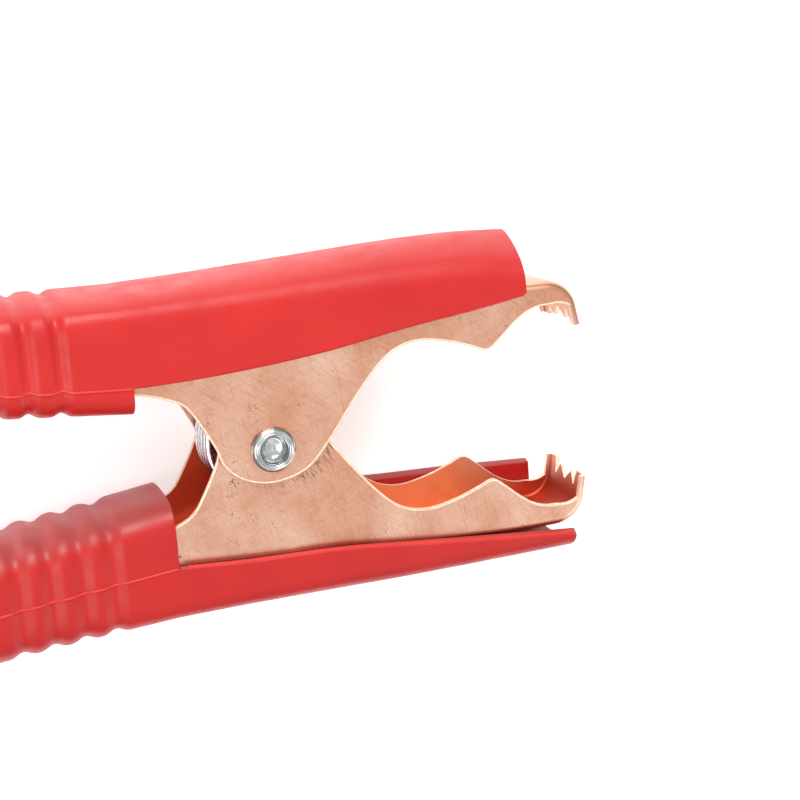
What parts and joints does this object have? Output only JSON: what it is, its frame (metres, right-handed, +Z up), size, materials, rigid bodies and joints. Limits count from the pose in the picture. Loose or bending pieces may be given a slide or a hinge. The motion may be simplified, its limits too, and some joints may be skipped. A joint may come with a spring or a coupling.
{
  "type": "alligator clip",
  "caption": "Spring-loaded alligator clip for a test or battery lead, held open: copper-plated toothed channel jaws on a hollow rivet, torsion spring, ribbed soft red handle boots",
  "frame": {"origin": "middle of the clip's footprint on the table it lies on, at the height of the boots' lower side faces", "axes": "+X from the rivet towards the jaw tips along the line midway between the jaws; +Y towards the upper jaw; +Z up, along the rivet's axis"},
  "size_m": [0.1085, 0.06, 0.0208],
  "materials": {
    "copper_plate": "copper-plated steel sheet, fine scratches",
    "red_vinyl": "soft red vinyl, satin",
    "plated_steel": "bright nickel-plated steel",
    "spring_steel": "bright drawn spring wire"
  },
  "bodies": {
    "lower": {"lower_jaw": "copper_plate", "lower_boot": "red_vinyl", "pivot_rivet": "plated_steel", "torsion_spring": "spring_steel", "terminal_screw": "plated_steel", "terminal_lock_washer": "plated_steel", "terminal_nut": "plated_steel"},
    "upper": {"upper_jaw": "copper_plate", "upper_boot": "red_vinyl"}
  },
  "joints": [
    {"name": "jaw_pivot", "type": "hinge", "parent": "lower", "child": "upper", "pos_m": [-0.00045, 0.0003, 0.01], "axis": [0, 0, 1], "range_deg": [-26.5, 18], "stiffness_Nm_per_rad": 0.42, "springref_deg": -100.84, "deforming": ["torsion_spring"]}
  ]
}
